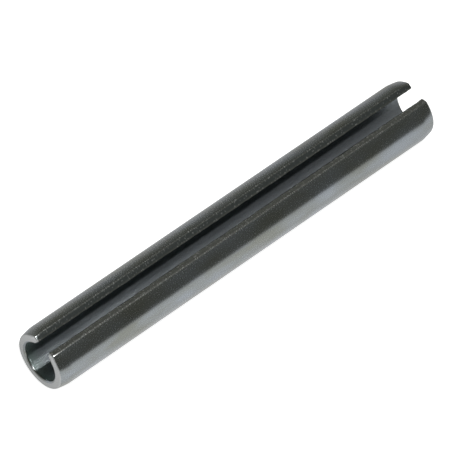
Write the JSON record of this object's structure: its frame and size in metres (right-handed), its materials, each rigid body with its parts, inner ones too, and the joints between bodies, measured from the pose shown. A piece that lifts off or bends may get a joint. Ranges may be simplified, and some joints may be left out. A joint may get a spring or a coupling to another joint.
{
  "type": "slotted spring pin",
  "caption": "Slotted spring pin: a strip of spring steel rolled to an open tube with a gap along its length and tapered ends, driven into a plain hole to fix or locate parts.",
  "frame": {"origin": "on the pin's axis, half way along its length", "axes": "+X along the pin, +Z through the middle of the gap, which faces up as the pin lies"},
  "size_m": [0.05, 0.0066, 0.0063],
  "materials": {
    "spring_steel": "hardened and tempered spring steel, plain finish, dark satin grey with a thin film of oil"
  },
  "bodies": {
    "root": {"spring_pin": "spring_steel"}
  },
  "joints": []
}
